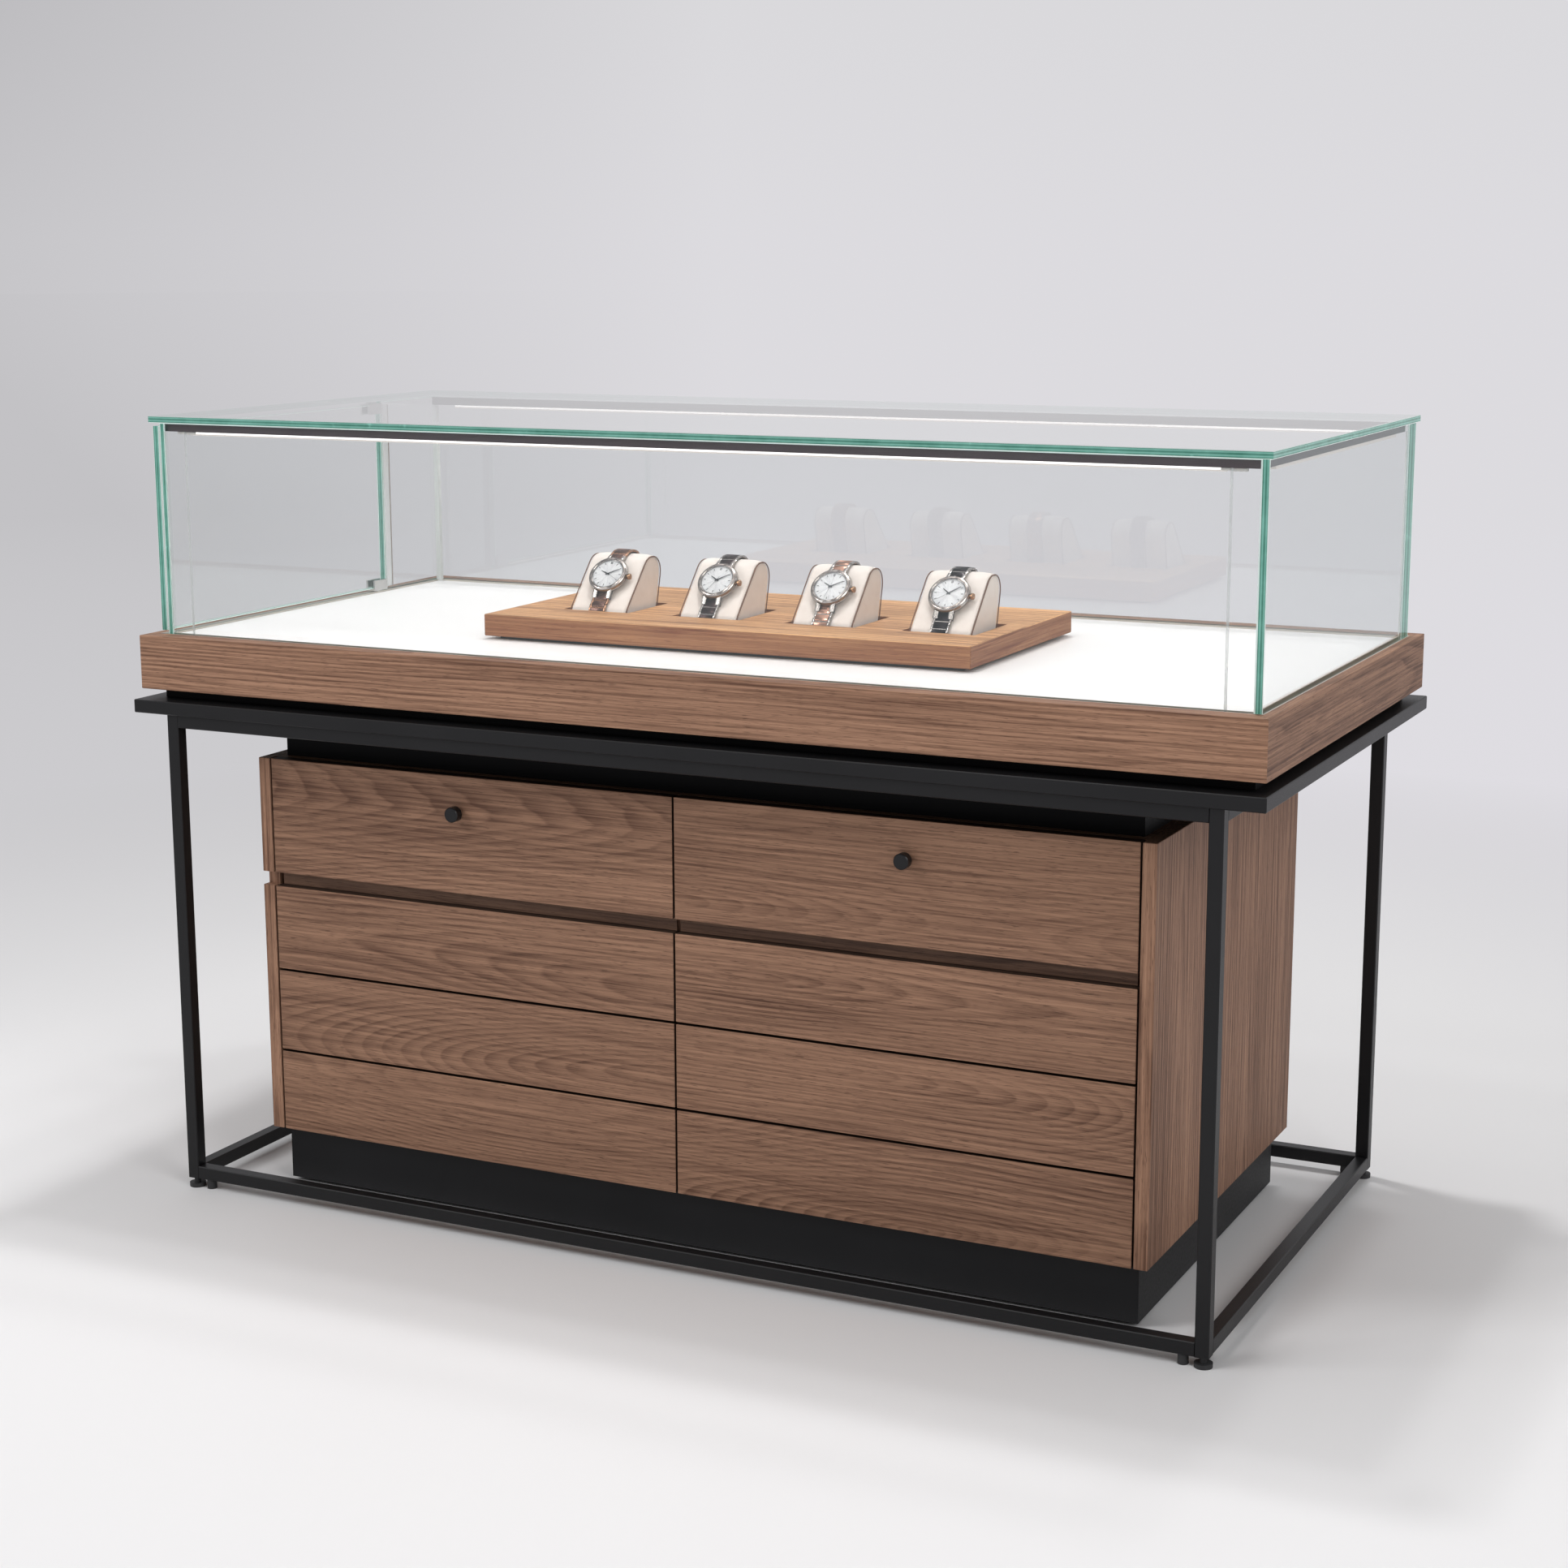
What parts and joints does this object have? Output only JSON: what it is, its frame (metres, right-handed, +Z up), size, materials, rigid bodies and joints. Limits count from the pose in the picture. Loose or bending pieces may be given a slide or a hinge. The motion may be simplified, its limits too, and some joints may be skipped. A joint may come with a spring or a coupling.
{
  "type": "glass-topped display island with drawers",
  "caption": "Free-standing shop display island: a lit glass case on a wood band and black steel frame, over a drawer cabinet, with a watch tray inside.",
  "frame": {"origin": "on the floor, under the centre of the black steel ring", "axes": "+X to the right along the long side, -Y towards the person at the drawer fronts, +Z up"},
  "size_m": [1.408, 0.684, 0.953],
  "materials": {
    "walnut": "satin veneer with fine horizontal grain",
    "oak": "satin oiled",
    "board": "raw board",
    "black_steel": "black powder coat",
    "black_board": "black lacquer",
    "deck_white": "off-white laminate",
    "profile": "dark anodised",
    "channel": "light anodised",
    "glass": "clear, green at its polished edges",
    "diffuser": "opal, lit",
    "fitting": "brushed",
    "drawer_grey": "grey powder coat",
    "runner": "zinc plated",
    "latch": "moulded",
    "driver": "moulded",
    "knob_black": "black, bevelled",
    "foot_black": "black",
    "suede": "cream suede",
    "watch_steel": "two-tone bracelet, pale dial"
  },
  "bodies": {
    "island": {"frame_legs": "black_steel", "frame_rails": "black_steel", "ring_frame": "black_steel", "levelling_feet": "foot_black", "base_board": "black_board", "apron_long_boards": "walnut", "apron_end_boards": "walnut", "deck_board": "board", "deck_panel": "deck_white", "led_driver": "driver", "glass_channel": "channel", "glass_front": "glass", "glass_back": "glass", "glass_right": "glass", "glass_left": "glass", "glass_top": "glass", "led_profiles": "profile", "led_diffusers": "diffuser", "pivot_bearings": "fitting", "cabinet_side_left": "walnut", "cabinet_side_right": "walnut", "cabinet_top_panel": "walnut", "cabinet_bottom_panel": "board", "cabinet_back_panel": "walnut", "cabinet_partition": "walnut", "grip_rails": "walnut", "neck_riser": "black_board", "plinth": "black_board", "drawer_runners": "runner", "push_latches": "latch"},
    "drawer_row_one_left": {"drawer_front_row_one_left": "walnut", "drawer_box_row_one_left": "drawer_grey", "knob_left": "knob_black"},
    "drawer_row_one_right": {"drawer_front_row_one_right": "walnut", "drawer_box_row_one_right": "drawer_grey", "knob_right": "knob_black"},
    "drawer_row_two_left": {"drawer_front_row_two_left": "walnut", "drawer_box_row_two_left": "drawer_grey"},
    "drawer_row_two_right": {"drawer_front_row_two_right": "walnut", "drawer_box_row_two_right": "drawer_grey"},
    "drawer_row_three_left": {"drawer_front_row_three_left": "walnut", "drawer_box_row_three_left": "drawer_grey"},
    "drawer_row_three_right": {"drawer_front_row_three_right": "walnut", "drawer_box_row_three_right": "drawer_grey"},
    "drawer_row_four_left": {"drawer_front_row_four_left": "walnut", "drawer_box_row_four_left": "drawer_grey"},
    "drawer_row_four_right": {"drawer_front_row_four_right": "walnut", "drawer_box_row_four_right": "drawer_grey"},
    "door": {"door_glass": "glass", "door_pivots": "fitting"},
    "tray": {"tray": "oak", "tray_base": "black_board"},
    "cushion_1": {"cushion_1": "suede", "watch_1": "watch_steel"},
    "cushion_2": {"cushion_2": "suede", "watch_2": "watch_steel"},
    "cushion_3": {"cushion_3": "suede", "watch_3": "watch_steel"},
    "cushion_4": {"cushion_4": "suede", "watch_4": "watch_steel"}
  },
  "joints": [
    {"name": "drawer_row_one_left_slide", "type": "slide", "parent": "island", "child": "drawer_row_one_left", "axis": [0, -1, 0], "range_m": [0, 0.36]},
    {"name": "drawer_row_one_right_slide", "type": "slide", "parent": "island", "child": "drawer_row_one_right", "axis": [0, -1, 0], "range_m": [0, 0.36]},
    {"name": "drawer_row_two_left_slide", "type": "slide", "parent": "island", "child": "drawer_row_two_left", "axis": [0, -1, 0], "range_m": [0, 0.36]},
    {"name": "drawer_row_two_right_slide", "type": "slide", "parent": "island", "child": "drawer_row_two_right", "axis": [0, -1, 0], "range_m": [0, 0.36]},
    {"name": "drawer_row_three_left_slide", "type": "slide", "parent": "island", "child": "drawer_row_three_left", "axis": [0, -1, 0], "range_m": [0, 0.36]},
    {"name": "drawer_row_three_right_slide", "type": "slide", "parent": "island", "child": "drawer_row_three_right", "axis": [0, -1, 0], "range_m": [0, 0.36]},
    {"name": "drawer_row_four_left_slide", "type": "slide", "parent": "island", "child": "drawer_row_four_left", "axis": [0, -1, 0], "range_m": [0, 0.36]},
    {"name": "drawer_row_four_right_slide", "type": "slide", "parent": "island", "child": "drawer_row_four_right", "axis": [0, -1, 0], "range_m": [0, 0.36]},
    {"name": "door_hinge", "type": "hinge", "parent": "island", "child": "door", "pos_m": [-0.682, 0.148, 0.818], "axis": [0, 0, -1], "range_deg": [0, 95]},
    {"name": "tray_lift", "type": "slide", "parent": "island", "child": "tray", "axis": [0, 0, 1], "range_m": [0, 0.08]},
    {"name": "cushion_1_lift", "type": "slide", "parent": "tray", "child": "cushion_1", "axis": [0, 0, 1], "range_m": [0, 0.05]},
    {"name": "cushion_2_lift", "type": "slide", "parent": "tray", "child": "cushion_2", "axis": [0, 0, 1], "range_m": [0, 0.05]},
    {"name": "cushion_3_lift", "type": "slide", "parent": "tray", "child": "cushion_3", "axis": [0, 0, 1], "range_m": [0, 0.05]},
    {"name": "cushion_4_lift", "type": "slide", "parent": "tray", "child": "cushion_4", "axis": [0, 0, 1], "range_m": [0, 0.05]}
  ]
}
